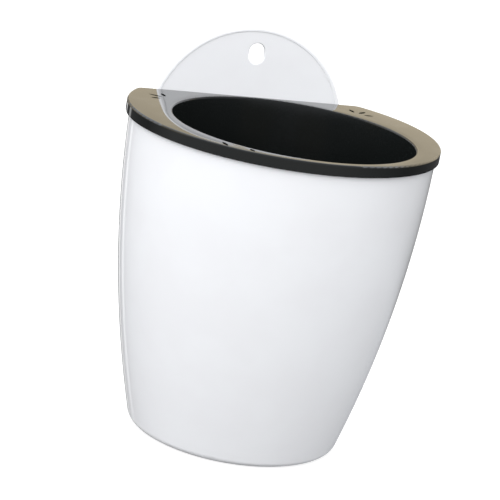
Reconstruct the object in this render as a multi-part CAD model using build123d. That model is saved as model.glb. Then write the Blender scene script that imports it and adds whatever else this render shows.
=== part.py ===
from build123d import *
import os
from math import atan2, cos, hypot, pi, radians, sin, sqrt

# A half-round wall planter that waters itself: a white outer pot with a hanging tab,
# a black inner pot whose rim closes the outer one, and a felt wick between the two.
# The tab is moulded in one with the outer pot's flat back. It is a solid of its own here,
# so that the pot below it is a plain open cup.
#
# Frame, in millimetres: +X to the right seen from the room, +Y towards the wall, +Z up.
# The origin is on the base plane, midway between the front of the rim and the wall face.

# Overall sizes
rim_radius = 92.5  # outside of the inner pot's rim
wall_distance = 61.5  # centre of the rim's circle to the face on the wall
rim_height = 192.0  # base to the rim's top face

# Outer pot
base_radius = 63.1
belly = 6.8  # how far the side stands proud of a straight taper at half height
pot_wall = 1.5
pot_floor = 3.0
back_wall = 3.0  # flat back and hanging tab are one plate
base_round = 5.0
inside_round = 3.0
back_edge_round = 3.0
foot_recess = 1.0  # hollow under the base, inside its standing ring
foot_ring = 9.0  # width of the standing ring

# Hanging tab
tab_radius = 63.4
tab_centre_drop = 20.6  # centre of the tab's arc below the rim's top face
tab_front_round = 1.7
tab_back_round = 0.8
tab_bead = 2.6  # raised border along the tab's arc
tab_recess = 0.4  # tab's face behind the bead
tab_recess_round = 0.18
hole_width = 10.2
hole_height = 12.6
hole_rise = 26.5  # hole's centre above the rim's top face
hole_edge_round = 0.7

# Inner pot: rim
rim_plate = 2.0
rim_edge_round = 1.0
rim_corner = 6.0
lip_wall = 1.9
lip_depth = 6.5  # rim's top face to the lip's lower edge
lip_end = 5.0  # the lip stops this far before the rim's back edge
lip_clearance = 0.3  # lip to the outer pot's side
seat_clearance = 0.3  # rim plate to the outer pot's top edge
tab_clearance = 0.4  # rim's back edge to the tab
back_band = 2.1  # rim left between the mouth and its back edge

# Inner pot: basket
basket_wall = 1.2
basket_floor = 1.6
mouth_round = 1.15  # rolled edge of the mouth
basket_gap = 0.35  # basket to the outer pot's side, just under the rim
foot_gap = 2.5  # the same at the basket's floor
basket_round = 4.0
reservoir_depth = 58.0  # outer pot's floor to the basket's floor

# Drain holes and wick collar in the basket's floor
drain_radius = 2.0
drain_rings = ((12.0, 16), (26.0, 10))  # ring's distance from the basket's wall, holes in it
collar_wall = 1.6
collar_drop = 12.0  # collar below the basket's floor
collar_rise = 3.0  # and above it

# Wick
wick_radius = 5.0
wick_rise = 26.0  # wick above the basket's floor
wick_end_gap = 4.0  # wick's lower end to the outer pot's floor
wick_chamfer = 0.8

# Leaf-shaped filling slots in the rim: a fan of three at each back corner, as offsets from
# the fan's root, length and direction, and two more at the front left, as place round the
# rim and length.
leaf_width = 2.4
fan_direction = 38.8  # seen from the mouth's centre, in degrees
fan_root_gap = 6.5  # fan's root to the mouth's rolled edge
fan_leaves = ((0.0, 9.1, 7.4, 90.0), (5.8, 6.3, 8.8, 38.0), (7.5, 0.0, 6.5, 0.0))
front_leaf_inset = 4.0  # middle of a front slot to the rim's outer edge
front_leaves = ((226.8, 8.2), (237.0, 5.6))

# Places worked out from the sizes
rim_y = (rim_radius - wall_distance) / 2
wall_face_y = rim_y + wall_distance
tab_face_y = wall_face_y - back_wall
rim_back_y = tab_face_y - tab_clearance
plate_z = rim_height - rim_plate
pot_top_z = plate_z - seat_clearance
pot_top_radius = rim_radius - lip_wall - lip_clearance
tab_centre_z = rim_height - tab_centre_drop
hole_z = rim_height + hole_rise

basket_front_y = rim_y - (pot_top_radius - pot_wall - basket_gap)
mouth_front_y = basket_front_y + basket_wall - mouth_round
mouth_back_y = rim_back_y - back_band
mouth_y = (mouth_front_y + mouth_back_y) / 2
mouth_edge_radius = (mouth_back_y - mouth_front_y) / 2
basket_top_radius = mouth_edge_radius - mouth_round
basket_floor_z = pot_floor + reservoir_depth


def pot_radius(z):
    """Radius of the outer pot's side at height z: an arc through its base, belly and top."""
    half = pot_top_z / 2
    chord = hypot(half * 2, pot_top_radius - base_radius)
    lean = atan2(pot_top_radius - base_radius, pot_top_z)
    sag = belly * cos(lean)
    radius = (chord * chord / 4 + sag * sag) / (2 * sag)
    middle = (base_radius + pot_top_radius) / 2
    centre_r = middle - (radius - sag) * cos(lean)
    centre_z = half + (radius - sag) * sin(lean)
    return centre_r + sqrt(radius * radius - (z - centre_z) ** 2)


basket_foot_radius = pot_radius(basket_floor_z) - pot_wall - foot_gap - (rim_y - mouth_y)


def save(part, name):
    part.label = name
    export_step(part, f"parts/{name}.step")


def behind(y, reach):
    """A block that fills everything with Y above y."""
    return Pos(0, y + reach / 2, rim_height / 2) * Box(4 * reach, reach, 4 * rim_height)


def turned(profile_lines, corner, corner_round, y):
    """A closed profile of radius and height, with one corner rounded, turned about Z at y."""
    with BuildSketch(Plane.XZ) as half:
        with BuildLine():
            profile_lines()
        make_face()
        vertex = half.vertices().sort_by_distance((corner[0], corner[1], 0))[0]
        fillet(vertex, corner_round)
    return Pos(0, y, 0) * revolve(half.sketch, Axis.Z)


def pot_solid(inset, bottom_z, bottom_round):
    """The outer pot's round body, filled in, with its side moved in by inset."""
    middle_z = (bottom_z + pot_top_z) / 2
    low, middle, top = [(pot_radius(z) - inset, z) for z in (bottom_z, middle_z, pot_top_z)]

    def lines():
        Line((0, bottom_z), low)
        ThreePointArc(low, middle, top)
        Polyline(top, (0, pot_top_z), (0, bottom_z))

    return turned(lines, low, bottom_round, rim_y)


def make_outer_pot():
    shell = pot_solid(0, 0, base_round) - behind(wall_face_y, rim_radius)
    back_face = shell.faces().filter_by(Axis.Y).sort_by(Axis.Y)[-1]
    back_edges = back_face.edges().sort_by(Axis.Z)[:-1]
    shell = fillet(back_edges, back_edge_round)

    foot_radius = base_radius - foot_ring
    shell -= Pos(0, rim_y, 0) * Cylinder(foot_radius, 2 * foot_recess)

    hollow = pot_solid(pot_wall, pot_floor, inside_round) - behind(tab_face_y, rim_radius)
    return shell - hollow


def disc(radius, z, y_front, y_back):
    """A disc that stands upright between two distances, with its middle at height z."""
    thickness = y_back - y_front
    return Pos(0, y_front + thickness / 2, z) * Rot(90, 0, 0) * Cylinder(radius, thickness)


def circles(part, radius):
    """The edges of a part that are arcs of one radius."""
    arcs = part.edges().filter_by(GeomType.CIRCLE)
    return arcs.filter_by(lambda edge: abs(edge.radius - radius) < 0.01)


def hanging_hole():
    """What is cut away for the hole: round at both ends and taller than it is wide."""
    length = 3 * back_wall
    slot = extrude(SlotOverall(hole_height, hole_width, rotation=90), length)
    return Pos(0, wall_face_y + back_wall, hole_z) * Rot(90, 0, 0) * slot


def make_hanging_tab():
    """The back plate above the outer pot's top edge, with the hole that hangs on a screw."""
    tab = disc(tab_radius, tab_centre_z, tab_face_y, wall_face_y)
    tab = fillet(circles(tab, tab_radius).sort_by(Axis.Y)[0], tab_front_round)
    tab = fillet(circles(tab, tab_radius).sort_by(Axis.Y)[-1], tab_back_round)

    inside_radius = tab_radius - tab_bead
    tab -= disc(inside_radius, tab_centre_z, tab_face_y - tab_recess, tab_face_y + tab_recess)
    tab = fillet(circles(tab, inside_radius), tab_recess_round)
    tab -= hanging_hole()
    edges_in_hole = tab.edges().filter_by_position(Axis.X, -hole_width, hole_width)
    edges_in_hole = edges_in_hole.filter_by_position(Axis.Z, hole_z - hole_height, hole_z + hole_height)
    tab = fillet(edges_in_hole.filter_by(Axis.Y, reverse=True), hole_edge_round)

    below = Box(4 * tab_radius, 4 * back_wall, 2 * tab_radius)
    return tab - Pos(0, wall_face_y, pot_top_z - tab_radius) * below


def rim_outline(y_back, radius, corner):
    """The rim's D: a circle cut straight along its back edge, with rounded corners."""
    with BuildSketch() as outline:
        with Locations((0, rim_y)):
            Circle(radius)
        with Locations((0, y_back)):
            Rectangle(4 * radius, 2 * radius, align=(Align.CENTER, Align.MIN), mode=Mode.SUBTRACT)
        fillet(outline.vertices(), corner)
    return outline.sketch


def leaf(length, x, y, direction):
    """A slot with two curved sides and a point at each end, cut right through the rim plate."""
    half = length / 2
    with BuildSketch() as face:
        with BuildLine():
            ThreePointArc((-half, 0), (0, leaf_width / 2), (half, 0))
            ThreePointArc((half, 0), (0, -leaf_width / 2), (-half, 0))
        make_face()
    cut = extrude(face.sketch, rim_plate * 2)
    return Pos(x, y, plate_z - rim_plate / 2) * Rot(0, 0, direction) * cut


def filling_slots():
    slots = []
    reach = mouth_edge_radius + fan_root_gap
    root_x = reach * cos(radians(fan_direction))
    root_y = mouth_y + reach * sin(radians(fan_direction))
    for dx, dy, length, direction in fan_leaves:
        slots.append(leaf(length, root_x + dx, root_y + dy, direction))
        slots.append(leaf(length, -root_x - dx, root_y + dy, 180 - direction))
    for place, length in front_leaves:
        radius = rim_radius - front_leaf_inset
        x = radius * cos(radians(place))
        y = rim_y + radius * sin(radians(place))
        slots.append(leaf(length, x, y, 90))
    return slots


def basket_outside():
    low = (basket_foot_radius, basket_floor_z)
    high = (basket_top_radius + basket_wall, plate_z)

    def lines():
        Polyline((0, low[1]), low, high, (0, high[1]), (0, low[1]))

    return turned(lines, low, basket_round, mouth_y)


def basket_inside():
    """The space inside the basket, with the mouth's rolled edge at its top."""
    roll_z = rim_height - mouth_round
    low = (basket_foot_radius - basket_wall, basket_floor_z + basket_floor)
    high = (basket_top_radius, roll_z)
    edge = (mouth_edge_radius, rim_height)
    roll_middle = (
        mouth_edge_radius - mouth_round * cos(pi / 4),
        roll_z + mouth_round * sin(pi / 4),
    )
    above = rim_height + mouth_round

    def lines():
        Polyline((0, low[1]), low, high)
        ThreePointArc(high, roll_middle, edge)
        Polyline(edge, (edge[0], above), (0, above), (0, low[1]))

    return turned(lines, low, basket_round - basket_wall, mouth_y)


def make_inner_pot():
    lip_z = rim_height - lip_depth
    rim = Pos(0, 0, lip_z) * extrude(rim_outline(rim_back_y, rim_radius, rim_corner), lip_depth)
    rim = fillet(rim.faces().sort_by(Axis.Z)[-1].edges(), rim_edge_round)

    under_height = plate_z - lip_z
    under_middle_z = lip_z + under_height / 2
    inside_lip = Pos(0, rim_y, under_middle_z) * Cylinder(
        pot_top_radius + lip_clearance, under_height
    )
    past_lip = Pos(0, rim_back_y - lip_end + rim_radius, under_middle_z) * Box(
        4 * rim_radius, 2 * rim_radius, under_height
    )
    inner = rim - inside_lip - past_lip

    collar_height = collar_drop + basket_floor + collar_rise
    collar = Pos(0, mouth_y, basket_floor_z - collar_drop + collar_height / 2)
    inner += basket_outside()
    inner -= basket_inside()
    inner += collar * Cylinder(wick_radius + collar_wall, collar_height)
    inner -= collar * Cylinder(wick_radius, 2 * collar_height)

    floor_middle_z = basket_floor_z + basket_floor / 2
    for from_wall, count in drain_rings:
        ring = basket_foot_radius - basket_wall - from_wall
        drain = Cylinder(drain_radius, 2 * basket_floor)
        for place in PolarLocations(ring, count):
            inner -= Pos(0, mouth_y, floor_middle_z) * place * drain
    for slot in filling_slots():
        inner -= slot
    return inner


def make_wick():
    low_z = pot_floor + wick_end_gap
    high_z = basket_floor_z + basket_floor + wick_rise
    rod = Cylinder(wick_radius, high_z - low_z)
    rod = chamfer(rod.edges().filter_by(GeomType.CIRCLE), wick_chamfer)
    return Pos(0, mouth_y, (low_z + high_z) / 2) * rod


os.makedirs("parts", exist_ok=True)
save(make_outer_pot(), "outer_pot")
save(make_hanging_tab(), "hanging_tab")
save(make_inner_pot(), "inner_pot")
save(make_wick(), "wick")
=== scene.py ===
# %% [markdown]
# # A self-watering wall planter
#
# The object is a half-round plant pot for a wall. A white outer pot holds water and hangs
# from a hole in its tab. A black inner pot holds the soil, and its flat rim closes the
# outer one. A felt wick carries water up from the one into the other.
#
# The shapes of the two pots are plain mouldings, already exact in the CAD model, so this
# lesson is mostly about finishes: how to make gloss, satin and moulded texture with nodes,
# and how a room that is only a shader can give a glossy rim something to mirror.

import math

import bmesh
import bpy
from mathutils import Matrix, Vector, noise


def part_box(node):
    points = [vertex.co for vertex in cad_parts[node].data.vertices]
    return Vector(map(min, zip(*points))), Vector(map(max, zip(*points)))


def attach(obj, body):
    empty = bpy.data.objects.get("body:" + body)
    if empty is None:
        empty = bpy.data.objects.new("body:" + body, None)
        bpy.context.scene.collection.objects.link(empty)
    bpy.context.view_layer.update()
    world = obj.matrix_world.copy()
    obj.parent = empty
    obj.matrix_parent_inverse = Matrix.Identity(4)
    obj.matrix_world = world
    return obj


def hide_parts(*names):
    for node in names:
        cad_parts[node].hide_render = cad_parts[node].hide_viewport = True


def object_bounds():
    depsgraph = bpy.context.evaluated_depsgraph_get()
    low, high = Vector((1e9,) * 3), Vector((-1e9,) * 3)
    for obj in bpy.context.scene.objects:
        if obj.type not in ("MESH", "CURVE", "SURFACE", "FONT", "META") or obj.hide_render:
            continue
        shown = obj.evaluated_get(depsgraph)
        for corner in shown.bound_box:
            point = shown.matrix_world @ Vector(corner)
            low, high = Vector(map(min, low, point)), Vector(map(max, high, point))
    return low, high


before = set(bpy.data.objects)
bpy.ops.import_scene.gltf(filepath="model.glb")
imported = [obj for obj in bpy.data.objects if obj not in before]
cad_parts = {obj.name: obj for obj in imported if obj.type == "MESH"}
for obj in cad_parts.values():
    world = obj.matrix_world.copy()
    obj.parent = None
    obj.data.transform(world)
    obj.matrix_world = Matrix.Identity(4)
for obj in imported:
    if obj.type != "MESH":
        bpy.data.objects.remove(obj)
cad_low, cad_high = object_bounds()
print("CAD box in metres:", tuple(cad_low), tuple(cad_high))

# %% [markdown]
# ## Sizes taken from the frame
#
# Nothing here is measured by eye. The rim's height, the outer pot's round axis and the
# mouth's axis all follow from the boxes of the CAD parts: the rim is as wide as the inner
# pot, so half that width back from its front edge is the centre of the rim's circle, and
# the wick stands on the axis of the mouth.

# %% Sizes
MM = 0.001
rim_low, rim_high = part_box("inner_pot")
wick_low, wick_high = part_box("wick")
rim_top = rim_high.z
rim_radius = (rim_high.x - rim_low.x) / 2
rim_centre_y = rim_low.y + rim_radius
mouth_y = (wick_low.y + wick_high.y) / 2
wick_radius = (wick_high.x - wick_low.x) / 2
print(f"rim radius {rim_radius / MM:.1f} mm, top at {rim_top / MM:.1f} mm")

# %% [markdown]
# ## Camera
#
# The pot is seen from its left and a little above, through a long lens, with the camera
# rolled so that the pot leans. A camera is easiest to place from three directions: back,
# from the object to the lens, right and up. Roll turns the last two about the first.

# %% Camera
CAMERA_AIM = Vector((-0.0148, -0.0011, 0.1177))
CAMERA_DISTANCE = 1.1845
CAMERA_AZIMUTH = math.radians(-23.25)
CAMERA_ELEVATION = math.radians(15.85)
CAMERA_ROLL = math.radians(9.89)
CAMERA_LENS = 146.5
SENSOR_WIDTH = 36


def make_camera():
    level = math.cos(CAMERA_ELEVATION)
    back = Vector(
        (
            math.sin(CAMERA_AZIMUTH) * level,
            -math.cos(CAMERA_AZIMUTH) * level,
            math.sin(CAMERA_ELEVATION),
        )
    )
    level_right = Vector((math.cos(CAMERA_AZIMUTH), math.sin(CAMERA_AZIMUTH), 0))
    level_up = back.cross(level_right)
    right = math.cos(CAMERA_ROLL) * level_right + math.sin(CAMERA_ROLL) * level_up
    up = back.cross(right)
    data = bpy.data.cameras.new("camera")
    data.lens = CAMERA_LENS
    data.sensor_width = SENSOR_WIDTH
    camera = bpy.data.objects.new("camera", data)
    camera.matrix_world = Matrix(
        (
            (right.x, up.x, back.x, 0),
            (right.y, up.y, back.y, 0),
            (right.z, up.z, back.z, 0),
            (0, 0, 0, 1),
        )
    )
    camera.location = CAMERA_AIM + CAMERA_DISTANCE * back
    bpy.context.scene.collection.objects.link(camera)
    bpy.context.scene.camera = camera
    return camera


make_camera()

# %% [markdown]
# ## Short hands for nodes
#
# A node tree made in code is mostly three things: add a node, set its plain values, and
# wire an output to an input. These helpers do that, so that the materials further down
# read as a list of what feeds what. An input may be given a number, a colour or a socket.


# %% Node helpers
def add(tree, kind, inputs=None, **settings):
    """A new node of a kind, with its settings, and its inputs set or wired."""
    node = tree.nodes.new(kind)
    for name, value in settings.items():
        setattr(node, name, value)
    for name, value in (inputs or {}).items():
        feed(tree, node.inputs[name], value)
    return node


def feed(tree, socket, value):
    """Wire a socket into an input, or set the input to a plain value."""
    if isinstance(value, bpy.types.NodeSocket):
        tree.links.new(value, socket)
    else:
        socket.default_value = value


def maths(tree, operation, *values, clamp=False):
    """The output of a Math node on one to three numbers or sockets."""
    node = tree.nodes.new("ShaderNodeMath")
    node.operation = operation
    node.use_clamp = clamp
    for socket, value in zip(node.inputs, values):
        feed(tree, socket, value)
    return node.outputs[0]


def ramp(tree, value, low, high, to_low=0.0, to_high=1.0):
    """Value going smoothly from to_low at low to to_high at high."""
    node = add(
        tree,
        "ShaderNodeMapRange",
        {"Value": value, "From Min": low, "From Max": high},
        interpolation_type="SMOOTHSTEP",
    )
    feed(tree, node.inputs["To Min"], to_low)
    feed(tree, node.inputs["To Max"], to_high)
    return node.outputs["Result"]


def blend_values(tree, share, first, second):
    """A number going from first to second as share goes from 0 to 1."""
    return add(tree, "ShaderNodeMix", {0: share, 2: first, 3: second}).outputs[0]


def blend_colours(tree, share, first, second):
    """A colour going from first to second as share goes from 0 to 1."""
    node = tree.nodes.new("ShaderNodeMix")
    node.data_type = "RGBA"
    feed(tree, node.inputs[0], share)
    feed(tree, node.inputs[6], first)
    feed(tree, node.inputs[7], second)
    return node.outputs[2]


def object_place(tree):
    """The point being shaded, in the object's own metres."""
    return add(tree, "ShaderNodeTexCoord").outputs["Object"]


def noise_at(tree, place, per_metre, detail):
    """Noise between 0 and 1, with per_metre bumps to a metre."""
    inputs = {"Vector": place, "Scale": per_metre, "Detail": detail}
    return add(tree, "ShaderNodeTexNoise", inputs).outputs["Fac"]


def bumped_normal(tree, height):
    """The normal of a surface that has this height, in metres, on top of it."""
    inputs = {"Strength": 1.0, "Distance": 1.0, "Height": height}
    return add(tree, "ShaderNodeBump", inputs).outputs["Normal"]


def new_group(name, inputs, outputs):
    """An empty shader group. Each input is a name and its first value."""
    tree = bpy.data.node_groups.new(name, "ShaderNodeTree")
    for label, value in inputs:
        kind = "NodeSocketVector" if isinstance(value, tuple) else "NodeSocketFloat"
        socket = tree.interface.new_socket(label, in_out="INPUT", socket_type=kind)
        socket.default_value = value
    for label in outputs:
        tree.interface.new_socket(label, in_out="OUTPUT", socket_type="NodeSocketFloat")
    entry = tree.nodes.new("NodeGroupInput")
    leave = tree.nodes.new("NodeGroupOutput")
    return tree, entry.outputs, leave.inputs


def use_group(tree, group, **inputs):
    """A group placed in a tree, with its own values. Returns its outputs."""
    node = tree.nodes.new("ShaderNodeGroup")
    node.node_tree = group
    for label, value in inputs.items():
        feed(tree, node.inputs[label.replace("_", " ")], value)
    return node.outputs


# %% [markdown]
# ## Shared effects
#
# Both pots come out of steel moulds and are handled in the same way, so they share four
# effects. Each is one node group with its own inputs, placed in a material with that
# material's values:
#
# - *moulded skin*: the soft waviness of a cooled plastic surface, and the fine grain of
#   the mould's steel.
# - *handling scuffs*: short hairline marks from being wiped and stacked.
# - *settled dust*: specks and patches on faces that look up.
# - *distance from axis*: how far a point is from an upright line, for anything round.
#
# A mask is made from noise by giving it two levels: it is 0 below the first and 1 above
# the second. The closer the two are, the harder the mask's edge.


# %% Group: moulded skin
CLOUDS_PER_METRE = 28.0


def moulded_skin():
    tree, given, out = new_group(
        "moulded skin",
        [
            ("Wave size", 4 * MM),
            ("Wave depth", 0.004 * MM),
            ("Grain size", 0.4 * MM),
            ("Grain depth", 0.0),
        ],
        ["Height", "Cloud"],
    )
    place = object_place(tree)
    waves = noise_at(tree, place, maths(tree, "DIVIDE", 1.0, given["Wave size"]), 1.0)
    grain = noise_at(tree, place, maths(tree, "DIVIDE", 1.0, given["Grain size"]), 2.0)
    wave_height = maths(tree, "MULTIPLY", waves, given["Wave depth"])
    grain_height = maths(tree, "MULTIPLY", grain, given["Grain depth"])
    feed(tree, out["Height"], maths(tree, "ADD", wave_height, grain_height))
    feed(tree, out["Cloud"], noise_at(tree, place, CLOUDS_PER_METRE, 3.0))
    return tree


SKIN = moulded_skin()


# %% Group: handling scuffs
SCUFF_LAYERS = ((0.5, 0.10), (1.9, 0.07), (2.7, 0.13))  # a turn in radians, a stretch
LINES_PER_SPACING = 26.0
LINE_LEVELS = (0.69, 0.74)
SCUFFED_LEVELS = (0.5, 0.62)


def scuff_lines(tree, place, spacing, turn, stretch):
    """Hairlines that all lie one way: noise that is turned, then stretched."""
    turned = (turn, turn * 0.6, turn * 1.7)
    laid = add(
        tree,
        "ShaderNodeMapping",
        {"Vector": place, "Rotation": turned, "Scale": (1.0, stretch, 1.0)},
    ).outputs["Vector"]
    per_metre = maths(tree, "DIVIDE", LINES_PER_SPACING, spacing)
    return ramp(tree, noise_at(tree, laid, per_metre, 1.0), *LINE_LEVELS)


def handling_scuffs():
    tree, given, out = new_group(
        "handling scuffs", [("Spacing", 20 * MM), ("Amount", 0.3)], ["Mask"]
    )
    place = object_place(tree)
    every = 0.0
    for turn, stretch in SCUFF_LAYERS:
        lines = scuff_lines(tree, place, given["Spacing"], turn, stretch)
        every = maths(tree, "MAXIMUM", every, lines)
    where = noise_at(tree, place, maths(tree, "DIVIDE", 1.0, given["Spacing"]), 2.0)
    patches = ramp(tree, where, *SCUFFED_LEVELS)
    mask = maths(tree, "MULTIPLY", every, patches)
    feed(tree, out["Mask"], maths(tree, "MULTIPLY", mask, given["Amount"]))
    return tree


SCUFFS = handling_scuffs()


# %% Group: settled dust
UPWARD_LEVELS = (0.4, 0.95)
SPECK_LEVELS = (0.66, 0.78)
PATCH_LEVELS = (0.42, 0.72)
PATCHES_PER_METRE = 60.0


def settled_dust():
    tree, given, out = new_group(
        "settled dust", [("Amount", 0.2), ("Speck size", 0.7 * MM)], ["Mask"]
    )
    place = object_place(tree)
    normal = add(tree, "ShaderNodeTexCoord").outputs["Normal"]
    facing = add(tree, "ShaderNodeSeparateXYZ", {"Vector": normal}).outputs
    upward = ramp(tree, facing["Z"], *UPWARD_LEVELS)
    speck = noise_at(tree, place, maths(tree, "DIVIDE", 1.0, given["Speck size"]), 1.0)
    specks = ramp(tree, speck, *SPECK_LEVELS)
    patches = ramp(tree, noise_at(tree, place, PATCHES_PER_METRE, 3.0), *PATCH_LEVELS)
    cover = maths(tree, "MULTIPLY", maths(tree, "ADD", specks, patches), upward)
    feed(tree, out["Mask"], maths(tree, "MULTIPLY", cover, given["Amount"], clamp=True))
    return tree


DUST = settled_dust()


# %% Group: distance from axis
def distance_from_axis():
    tree, given, out = new_group(
        "distance from axis", [("Axis place", (0.0, 0.0, 0.0))], ["Distance", "Height"]
    )
    offset = add(
        tree,
        "ShaderNodeVectorMath",
        {0: object_place(tree), 1: given["Axis place"]},
        operation="SUBTRACT",
    ).outputs["Vector"]
    parts = add(tree, "ShaderNodeSeparateXYZ", {"Vector": offset}).outputs
    flat = add(tree, "ShaderNodeCombineXYZ", {"X": parts["X"], "Y": parts["Y"]})
    length = add(
        tree, "ShaderNodeVectorMath", {0: flat.outputs["Vector"]}, operation="LENGTH"
    )
    feed(tree, out["Distance"], length.outputs["Value"])
    feed(tree, out["Height"], parts["Z"])
    return tree


AXIS = distance_from_axis()
print("shader groups:", [group.name for group in bpy.data.node_groups])

# %% [markdown]
# ## Dressing a CAD part
#
# A CAD part keeps its shape, and only its finish changes, by putting a new material in its
# slot. The Principled shader stays in the material itself, and so do its plain values, so
# that the finish can be exported.


# %% Start a material
def new_finish(name, **values):
    """A new material with a Principled shader. Returns it with its tree and shader."""
    material = bpy.data.materials.new(name)
    material.use_nodes = True
    tree = material.node_tree
    shader = tree.nodes["Principled BSDF"]
    for label, value in values.items():
        shader.inputs[label.replace("_", " ")].default_value = value
    return material, tree, shader


def dress(node_name, material):
    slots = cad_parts[node_name].data.materials
    slots.clear()
    slots.append(material)
    print(node_name, "wears", material.name)


# %% [markdown]
# ## The white outer pot
#
# Real: white polypropylene, glossy outside, from a polished mould. What gives it away as
# moulded rather than painted is a very slight waviness in its reflections, a small round
# gate mark under the base, and scuffs on the ring that it stands on. It could be a flat
# white with low roughness, but that reads as a computer picture. So the colour drifts a
# little, the skin waves, and roughness rises with scuffs and dust.

# %% White finish
WHITE = (0.893, 0.901, 0.925, 1)
WHITE_CLOUDED = (0.878, 0.882, 0.906, 1)
WHITE_CLOUD_LEVELS = (0.35, 0.65)
GREY_DUST = (0.56, 0.54, 0.5, 1)
FLOOR_WEAR_TO = 6 * MM
FLOOR_WEAR = 0.25
CLOUD_LEVELS = (0.3, 0.7)
WHITE_ROUGHNESS = (0.06, 0.1)
WHITE_SCUFF_ROUGHENS = 0.12
WHITE_DUST_ROUGHENS = 0.5
GATE_RADIUS = 3.2 * MM
GATE_EDGE = 0.6 * MM
GATE_HEIGHT = 0.25 * MM
UNDER_BASE = (2 * MM, 1.5 * MM)


def gate_mark(tree, base_axis):
    """Height of the small round mark under the base where the plastic went in."""
    edge = GATE_RADIUS + GATE_EDGE
    mark = ramp(tree, base_axis["Distance"], GATE_RADIUS, edge, GATE_HEIGHT, 0.0)
    under = ramp(tree, base_axis["Height"], *UNDER_BASE)
    return maths(tree, "MULTIPLY", mark, under)


def white_moulding():
    material, tree, shader = new_finish("white_polypropylene", IOR=1.49)
    skin = use_group(
        tree,
        SKIN,
        Wave_size=9 * MM,
        Wave_depth=0.02 * MM,
        Grain_size=0.5 * MM,
        Grain_depth=0.0006 * MM,
    )
    scuffs = use_group(tree, SCUFFS, Spacing=25 * MM, Amount=0.5)["Mask"]
    dust = use_group(tree, DUST, Amount=0.16, Speck_size=0.8 * MM)["Mask"]
    base_axis = use_group(tree, AXIS, Axis_place=(0.0, rim_centre_y, 0.0))

    cloudy = ramp(tree, skin["Cloud"], *WHITE_CLOUD_LEVELS)
    clean = blend_colours(tree, cloudy, WHITE, WHITE_CLOUDED)
    near_floor = ramp(tree, base_axis["Height"], FLOOR_WEAR_TO, 0.0)
    worn = maths(tree, "MULTIPLY", near_floor, FLOOR_WEAR)
    dirt = maths(tree, "MAXIMUM", dust, maths(tree, "MULTIPLY", scuffs, worn))
    feed(tree, shader.inputs["Base Color"], blend_colours(tree, dirt, clean, GREY_DUST))

    polished = ramp(tree, skin["Cloud"], *CLOUD_LEVELS, *WHITE_ROUGHNESS)
    rougher = maths(tree, "MULTIPLY_ADD", scuffs, WHITE_SCUFF_ROUGHENS, polished)
    roughness = maths(tree, "MULTIPLY_ADD", dust, WHITE_DUST_ROUGHENS, rougher)
    feed(tree, shader.inputs["Roughness"], roughness)

    height = maths(tree, "ADD", skin["Height"], gate_mark(tree, base_axis))
    feed(tree, shader.inputs["Normal"], bumped_normal(tree, height))
    return material


white_polypropylene = white_moulding()
dress("outer_pot", white_polypropylene)
dress("hanging_tab", white_polypropylene)

# %% [markdown]
# ## The black inner pot
#
# Real: black polypropylene. Its rim is mirror-bright on top, the lip is dark and glossy,
# and the basket is a little duller, because the mould is polished most where it shows.
# One black with one roughness would lose all of that, so masks from height and from the
# distance to an axis choose the finish. The bright top is a clear coat.
#
# The rim's face isn't quite flat either. It slopes away, by up to two or three degrees, to
# its outer edge, and dips by up to five just before the mouth, and that bends what it
# mirrors. The drop is only a few tenths of a millimetre, too shallow to see as a shape,
# so it is a bump with a real height in metres, given to the shader and its coat alike.

# %% The rim's crown
MOUTH_RADIUS = 72.2 * MM
FALL_FROM = rim_radius - 17.0 * MM
FALL_SLOPE = math.tan(math.radians(2.6))
DIP_FROM = MOUTH_RADIUS + 4.5 * MM
DIP_SLOPE = math.tan(math.radians(5.0))


def plain_distance(tree, y):
    """Distance from an upright line at x = 0 and this y, without a group."""
    flat = add(
        tree,
        "ShaderNodeVectorMath",
        {0: object_place(tree), 1: (1.0, 1.0, 0.0), 2: (0.0, -y, 0.0)},
        operation="MULTIPLY_ADD",
    ).outputs["Vector"]
    length = add(tree, "ShaderNodeVectorMath", {0: flat}, operation="LENGTH")
    return length.outputs["Value"]


def drop(tree, distance_past, width, slope):
    """How far a face has dropped: its slope grows evenly until it is full at width."""
    past = maths(tree, "MAXIMUM", distance_past, 0.0)
    squared = maths(tree, "MULTIPLY", past, past)
    return maths(tree, "MULTIPLY", squared, slope / (2 * width))


def rim_crown(tree):
    """Height of the rim's face over a flat one, in metres."""
    past_fall = maths(tree, "SUBTRACT", plain_distance(tree, rim_centre_y), FALL_FROM)
    past_dip = maths(tree, "SUBTRACT", DIP_FROM, plain_distance(tree, mouth_y))
    fall = drop(tree, past_fall, rim_radius - FALL_FROM, FALL_SLOPE)
    dip = drop(tree, past_dip, DIP_FROM - MOUTH_RADIUS, DIP_SLOPE)
    return maths(tree, "MULTIPLY", maths(tree, "ADD", fall, dip), -1.0)


fall_depth = (rim_radius - FALL_FROM) * FALL_SLOPE / 2
dip_depth = (DIP_FROM - MOUTH_RADIUS) * DIP_SLOPE / 2
print(f"rim's face: {fall_depth / MM:.2f} mm lower at its outer edge")
print(f"rim's face: {dip_depth / MM:.2f} mm lower at the mouth")

# %% Black finish
BLACK = (0.0062, 0.0074, 0.0073, 1)
BLACK_IOR = 1.6
COAT_SHARE = 0.5
LIP_WALL = 1.9 * MM
DUST_FROM, DUST_FULL = rim_top - 1.5 * MM, rim_top - 1 * MM
TOP_FROM, TOP_FULL = rim_top - 1.2 * MM, rim_top - 0.4 * MM
MOUTH_EDGE = 0.5 * MM
SATIN_ROUGHNESS = (0.1, 0.15)
BRIGHT_ROUGHNESS = 0.04
COAT_ROUGHNESS = 0.03
BLACK_SCUFF_ROUGHENS = 0.08
BLACK_DUST_ROUGHENS = 0.4


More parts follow.
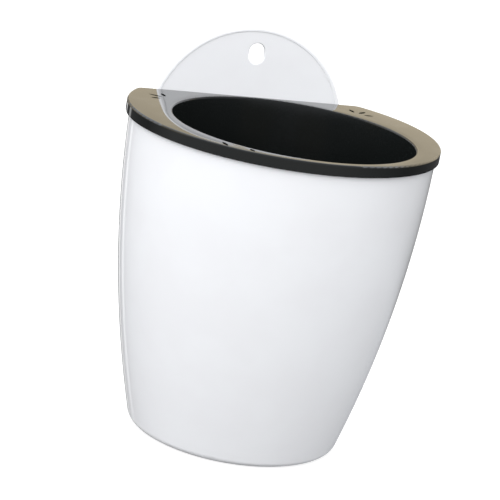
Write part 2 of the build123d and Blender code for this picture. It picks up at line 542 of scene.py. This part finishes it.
def black_moulding():
    material, tree, shader = new_finish(
        "black_polypropylene",
        IOR=BLACK_IOR,
        Coat_Roughness=COAT_ROUGHNESS,
        Coat_IOR=BLACK_IOR,
    )
    skin = use_group(
        tree, SKIN, Wave_size=7 * MM, Wave_depth=0.003 * MM, Grain_size=0.35 * MM
    )
    satin_skin = use_group(
        tree,
        SKIN,
        Wave_size=5 * MM,
        Wave_depth=0.008 * MM,
        Grain_size=0.3 * MM,
        Grain_depth=0.002 * MM,
    )
    scuffs = use_group(tree, SCUFFS, Spacing=22 * MM, Amount=0.35)["Mask"]
    rim_axis = use_group(tree, AXIS, Axis_place=(0.0, rim_centre_y, 0.0))
    settled = use_group(tree, DUST, Amount=0.05, Speck_size=0.5 * MM)["Mask"]
    high_up = ramp(tree, rim_axis["Height"], DUST_FROM, DUST_FULL)
    dust = maths(tree, "MULTIPLY", settled, high_up)
    crown = rim_crown(tree)

    from_mouth = plain_distance(tree, mouth_y)
    past_mouth = ramp(tree, from_mouth, MOUTH_RADIUS - MOUTH_EDGE, MOUTH_RADIUS)
    near_top = ramp(tree, rim_axis["Height"], TOP_FROM, TOP_FULL)
    on_top = maths(tree, "MULTIPLY", near_top, past_mouth)
    lip_outside = rim_radius - LIP_WALL
    on_lip = ramp(tree, rim_axis["Distance"], lip_outside - LIP_WALL, lip_outside)
    polished = maths(tree, "MAXIMUM", on_top, on_lip)
    feed(tree, shader.inputs["Base Color"], blend_colours(tree, dust, BLACK, GREY_DUST))

    satin = ramp(tree, satin_skin["Cloud"], *CLOUD_LEVELS, *SATIN_ROUGHNESS)
    bright = maths(tree, "MULTIPLY_ADD", scuffs, BLACK_SCUFF_ROUGHENS, BRIGHT_ROUGHNESS)
    clean = blend_values(tree, polished, satin, bright)
    roughness = maths(tree, "MULTIPLY_ADD", dust, BLACK_DUST_ROUGHENS, clean)
    feed(tree, shader.inputs["Roughness"], roughness)
    feed(tree, shader.inputs["Coat Weight"], maths(tree, "MULTIPLY", on_top, COAT_SHARE))

    smooth_height = maths(tree, "ADD", skin["Height"], crown)
    height = blend_values(tree, polished, satin_skin["Height"], smooth_height)
    feed(tree, shader.inputs["Normal"], bumped_normal(tree, height))
    feed(tree, shader.inputs["Coat Normal"], bumped_normal(tree, crown))
    return material


dress("inner_pot", black_moulding())

# %% [markdown]
# ## The felt wick
#
# Real: a stick of pressed cotton felt, pushed through the collar in the basket's floor.
# The CAD model has it as a plain rod. Felt has no sharp edges and no true circle, so here
# it is built again as a tube of rings, each point pushed in or out by noise: slow noise
# for the dents of handling, stretched noise for the lie of the fibres. The finest fibres
# are in the finish, as a bump and as a change of shade.

# %% Wick body
WICK_RINGS = 110
WICK_SIDES = 72
END_ROUND = 1.4 * MM
DENT_DEPTH = 0.28 * MM
FIBRE_DEPTH = 0.16 * MM
FELT_INSET = 0.2 * MM
END_SHARE = 0.72
DENT_LENGTH = 9 * MM
DENTS_ROUND = 2
FIBRE_LENGTH = 2.2 * MM
FIBRES_ROUND = 14
OTHER_NOISE = 7  # far enough up the noise that fibres don't repeat the dents


def wick_point(turn, share):
    """A point of the felt's surface, turn round the stick and share of the way up."""
    length = wick_high.z - wick_low.z
    z = wick_low.z + share * length
    to_end = min(share, 1 - share) * length
    ease = min(1.0, to_end / END_ROUND)
    rounding = END_SHARE + (1 - END_SHARE) * math.sqrt(ease * (2 - ease))
    radius = (wick_radius - FELT_INSET) * rounding
    around = Vector((math.cos(turn), math.sin(turn), 0))
    dent_at = (around.x * DENTS_ROUND, around.y * DENTS_ROUND, z / DENT_LENGTH)
    fibre_at = (
        around.x * FIBRES_ROUND,
        around.y * FIBRES_ROUND,
        z / FIBRE_LENGTH + OTHER_NOISE,
    )
    dent = noise.noise(Vector(dent_at))
    fibre = noise.noise(Vector(fibre_at))
    radius -= DENT_DEPTH * (0.5 + 0.5 * dent) + FIBRE_DEPTH * (0.5 + 0.5 * fibre)
    return Vector((radius * around.x, mouth_y + radius * around.y, z))


def make_wick():
    mesh = bmesh.new()
    rings = []
    for row in range(WICK_RINGS + 1):
        ring = [
            mesh.verts.new(wick_point(2 * math.pi * side / WICK_SIDES, row / WICK_RINGS))
            for side in range(WICK_SIDES)
        ]
        rings.append(ring)
    for lower, upper in zip(rings, rings[1:]):
        for side in range(WICK_SIDES):
            after = (side + 1) % WICK_SIDES
            mesh.faces.new((lower[side], lower[after], upper[after], upper[side]))
    mesh.faces.new(reversed(rings[0]))
    mesh.faces.new(rings[-1])
    data = bpy.data.meshes.new("felt_wick")
    mesh.to_mesh(data)
    mesh.free()
    data.polygons.foreach_set("use_smooth", [True] * len(data.polygons))
    wick = bpy.data.objects.new("felt_wick", data)
    bpy.context.scene.collection.objects.link(wick)
    return wick


# %% Felt finish
COTTON = (0.8, 0.77, 0.68, 1)
COTTON_SHADE = (0.58, 0.54, 0.45, 1)
FIBRES_PER_METRE = 3200.0
FIBRE_STRETCH = (1.0, 1.0, 0.25)
TUFTS_PER_METRE = 420.0
FIBRE_LEVELS = (0.3, 0.7)
TUFT_LEVELS = (0.3, 0.6)
TUFT_SHADE = (0.6, 1.0)
FELT_ROUGHNESS = (0.98, 0.85)
FUZZ_HEIGHT = 0.12 * MM


def felt_finish():
    material, tree, shader = new_finish(
        "cotton_felt", Sheen_Weight=0.5, Sheen_Roughness=0.6
    )
    place = object_place(tree)
    lie = add(tree, "ShaderNodeMapping", {"Vector": place, "Scale": FIBRE_STRETCH})
    fibres = noise_at(tree, lie.outputs["Vector"], FIBRES_PER_METRE, 3.0)
    tufts = noise_at(tree, place, TUFTS_PER_METRE, 2.0)
    by_tuft = ramp(tree, tufts, *TUFT_LEVELS, *TUFT_SHADE)
    shade = maths(tree, "MULTIPLY", ramp(tree, fibres, *FIBRE_LEVELS), by_tuft)
    colour = blend_colours(tree, shade, COTTON_SHADE, COTTON)
    feed(tree, shader.inputs["Base Color"], colour)
    roughness = ramp(tree, fibres, *FIBRE_LEVELS, *FELT_ROUGHNESS)
    feed(tree, shader.inputs["Roughness"], roughness)
    fuzz = maths(tree, "MULTIPLY", shade, FUZZ_HEIGHT)
    feed(tree, shader.inputs["Normal"], bumped_normal(tree, fuzz))
    return material


felt_wick = make_wick()
felt_wick.data.materials.append(felt_finish())
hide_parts("wick")
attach(felt_wick, "liner")
print("wick:", len(felt_wick.data.polygons), "faces")

# %% [markdown]
# ## Floor, room and light
#
# A glossy black rim shows nothing but what it mirrors, so the room matters more than the
# lamps. The room is the world shader, and the Light Path node lets it answer three kinds
# of ray in three ways. The camera sees plain white. Rough light comes from a soft sky
# that is brightest low down and to the left, gets dimmer higher up and is even above
# that, with a little bounce from the floor. Mirrored rays see a beige wall with a pale
# ceiling above it, and a dim room in front.
#
# Below eye level, mirrored rays see a room that is dim in front and dark near the wall,
# where two tall narrow lamps stand and draw thin streaks down the glossy side. Low at the
# far right they see a pale floor. The real floor is only seen by the camera, so that it
# takes a soft shadow but throws no light of its own.
#
# A direction is a vector of length one, so each pair of levels below is a height or a
# side between -1 and 1 where one part of the room starts to give way to the next.

# %% Room colours
WALL_BEIGE = (0.765, 0.668, 0.495, 1)
CEILING = (1.08, 1.13, 1.2, 1)
ROOM_DIM = (0.35, 0.36, 0.38, 1)
FLOOR_PALE = (0.42, 0.43, 0.46, 1)
PLAIN_WHITE = (1, 1, 1, 1)
LOW_DIM = 0.38
LOW_DARK = 0.1
LAMP = 0.95
BRIGHT_LAMP = 1.2
LOW_ROOM = (  # degrees from the wall's direction, turning right, and brightness
    (-180, LOW_DIM),
    (-75, LOW_DIM),
    (-45, LOW_DARK),
    (-13, LOW_DARK),
    (-12, LAMP),
    (-8, LAMP),
    (-7, LOW_DARK),
    (2, LOW_DARK),
    (3, BRIGHT_LAMP),
    (6, BRIGHT_LAMP),
    (7, LOW_DARK),
    (100, LOW_DARK),
    (160, LOW_DIM),
    (180, LOW_DIM),
)
WALL_LEVELS = (-0.05, 0.25)
EYE_LEVELS = (-0.06, 0.0)
CEILING_LEVELS = (0.42, 0.62)
CEILING_SIDE = (-0.1, 0.3)
FAR_RIGHT = (0.2, 0.5)
FAR_DOWN = (-0.29, -0.36)


def low_room(tree, east, north):
    """The room below eye level: a grey for each compass direction, from the wall's."""
    turn = maths(tree, "ARCTAN2", east, north)
    share = maths(tree, "MULTIPLY_ADD", turn, 0.5 / math.pi, 0.5)
    stops = add(tree, "ShaderNodeValToRGB", {"Fac": share})
    elements = stops.color_ramp.elements
    elements.remove(elements[1])
    for number, (degrees, bright) in enumerate(LOW_ROOM):
        place = degrees / 360 + 0.5
        stop = elements[0] if number == 0 else elements.new(place)
        stop.position = place
        stop.color = (bright, bright, bright, 1)
    return stops.outputs["Color"]


def mirrored_room(tree, parts):
    """What a mirrored ray sees: the low room, then wall or dim room, then ceiling."""
    toward_wall = ramp(tree, parts["Y"], *WALL_LEVELS)
    level_room = blend_colours(tree, toward_wall, ROOM_DIM, WALL_BEIGE)
    low = low_room(tree, parts["X"], parts["Y"])
    to_right = ramp(tree, parts["X"], *FAR_RIGHT)
    far_right = maths(tree, "MULTIPLY", to_right, ramp(tree, parts["Z"], *FAR_DOWN))
    low = blend_colours(tree, far_right, low, FLOOR_PALE)
    over_floor = ramp(tree, parts["Z"], *EYE_LEVELS)
    high_up = ramp(tree, parts["Z"], *CEILING_LEVELS)
    over_wall = maths(tree, "MULTIPLY", high_up, ramp(tree, parts["Y"], *CEILING_SIDE))
    below_ceiling = blend_colours(tree, over_floor, low, level_room)
    return blend_colours(tree, over_wall, below_ceiling, CEILING)


# %% Soft sky
SKY_MEAN = 1.9
SKY_EVEN_ABOVE = 0.35
SKY_SLOPE = (-0.51, -0.12, -0.9)
SKY_TINT = (0.985, 0.992, 1.0, 1)
FLOOR_BOUNCE = 0.17
HORIZON = (-0.1, 0.1)


def soft_sky(tree, parts):
    """Strength of the soft light that comes from a direction."""
    even_above = maths(tree, "MINIMUM", parts["Z"], SKY_EVEN_ABOVE)
    level = add(
        tree, "ShaderNodeCombineXYZ", {"X": parts["X"], "Y": parts["Y"], "Z": even_above}
    ).outputs["Vector"]
    toward_sky = add(
        tree, "ShaderNodeVectorMath", {0: level, 1: SKY_SLOPE}, operation="DOT_PRODUCT"
    )
    sky = maths(tree, "ADD", toward_sky.outputs["Value"], SKY_MEAN)
    return blend_values(tree, ramp(tree, parts["Z"], *HORIZON), FLOOR_BOUNCE, sky)


# %% Room
def background(tree, colour, strength):
    inputs = {"Color": colour, "Strength": strength}
    return add(tree, "ShaderNodeBackground", inputs).outputs[0]


def choose(tree, share, first, second):
    """The first shader where share is 0 and the second where it is 1."""
    return add(tree, "ShaderNodeMixShader", {0: share, 1: first, 2: second}).outputs[0]


def make_room():
    world = bpy.data.worlds.new("room")
    bpy.context.scene.world = world
    world.use_nodes = True
    tree = world.node_tree
    tree.nodes.clear()
    direction = add(tree, "ShaderNodeTexCoord").outputs["Generated"]
    parts = add(tree, "ShaderNodeSeparateXYZ", {"Vector": direction}).outputs

    soft = background(tree, SKY_TINT, soft_sky(tree, parts))
    mirror = background(tree, mirrored_room(tree, parts), 1.0)
    plain = background(tree, PLAIN_WHITE, 1.0)
    path = add(tree, "ShaderNodeLightPath").outputs
    unseen = choose(tree, path["Is Glossy Ray"], soft, mirror)
    answer = choose(tree, path["Is Camera Ray"], unseen, plain)
    output = tree.nodes.new("ShaderNodeOutputWorld")
    tree.links.new(answer, output.inputs["Surface"])
    print("room:", len(tree.nodes), "nodes")


make_room()


# %% Floor
FLOOR_RADIUS = 3.0
FLOOR_SIDES = 96
FLOOR_GAP = 0.2 * MM
FLOOR_COLOUR = (0.4, 0.4, 0.4, 1)
FLOOR_GLOW = 0.72


def make_floor():
    mesh = bmesh.new()
    bmesh.ops.create_circle(mesh, cap_ends=True, segments=FLOOR_SIDES, radius=FLOOR_RADIUS)
    data = bpy.data.meshes.new("floor")
    mesh.to_mesh(data)
    mesh.free()
    floor = bpy.data.objects.new("floor", data)
    floor.location.z = cad_low.z - FLOOR_GAP
    bpy.context.scene.collection.objects.link(floor)
    material, _, _ = new_finish(
        "pale_floor",
        Roughness=1.0,
        Base_Color=FLOOR_COLOUR,
        Emission_Color=PLAIN_WHITE,
        Emission_Strength=FLOOR_GLOW,
        Specular_IOR_Level=0.0,
    )
    data.materials.append(material)
    floor.visible_glossy = False
    floor.visible_diffuse = False
    return floor


make_floor()


# %% Key light
KEY_PLACE = (-0.75, -0.85, 0.95)
KEY_AIM = Vector((0, 0, 0.15))
KEY_SIZE = 0.9
KEY_ENERGY = 2.7


def make_key_light():
    data = bpy.data.lights.new("key", "AREA")
    data.shape = "DISK"
    data.size = KEY_SIZE
    data.energy = KEY_ENERGY
    data.color = PLAIN_WHITE[:3]
    light = bpy.data.objects.new("key", data)
    light.location = KEY_PLACE
    toward = KEY_AIM - light.location
    light.rotation_euler = toward.to_track_quat("-Z", "Y").to_euler()
    light.visible_glossy = False
    bpy.context.scene.collection.objects.link(light)


make_key_light()
bpy.context.scene.view_settings.view_transform = "Standard"
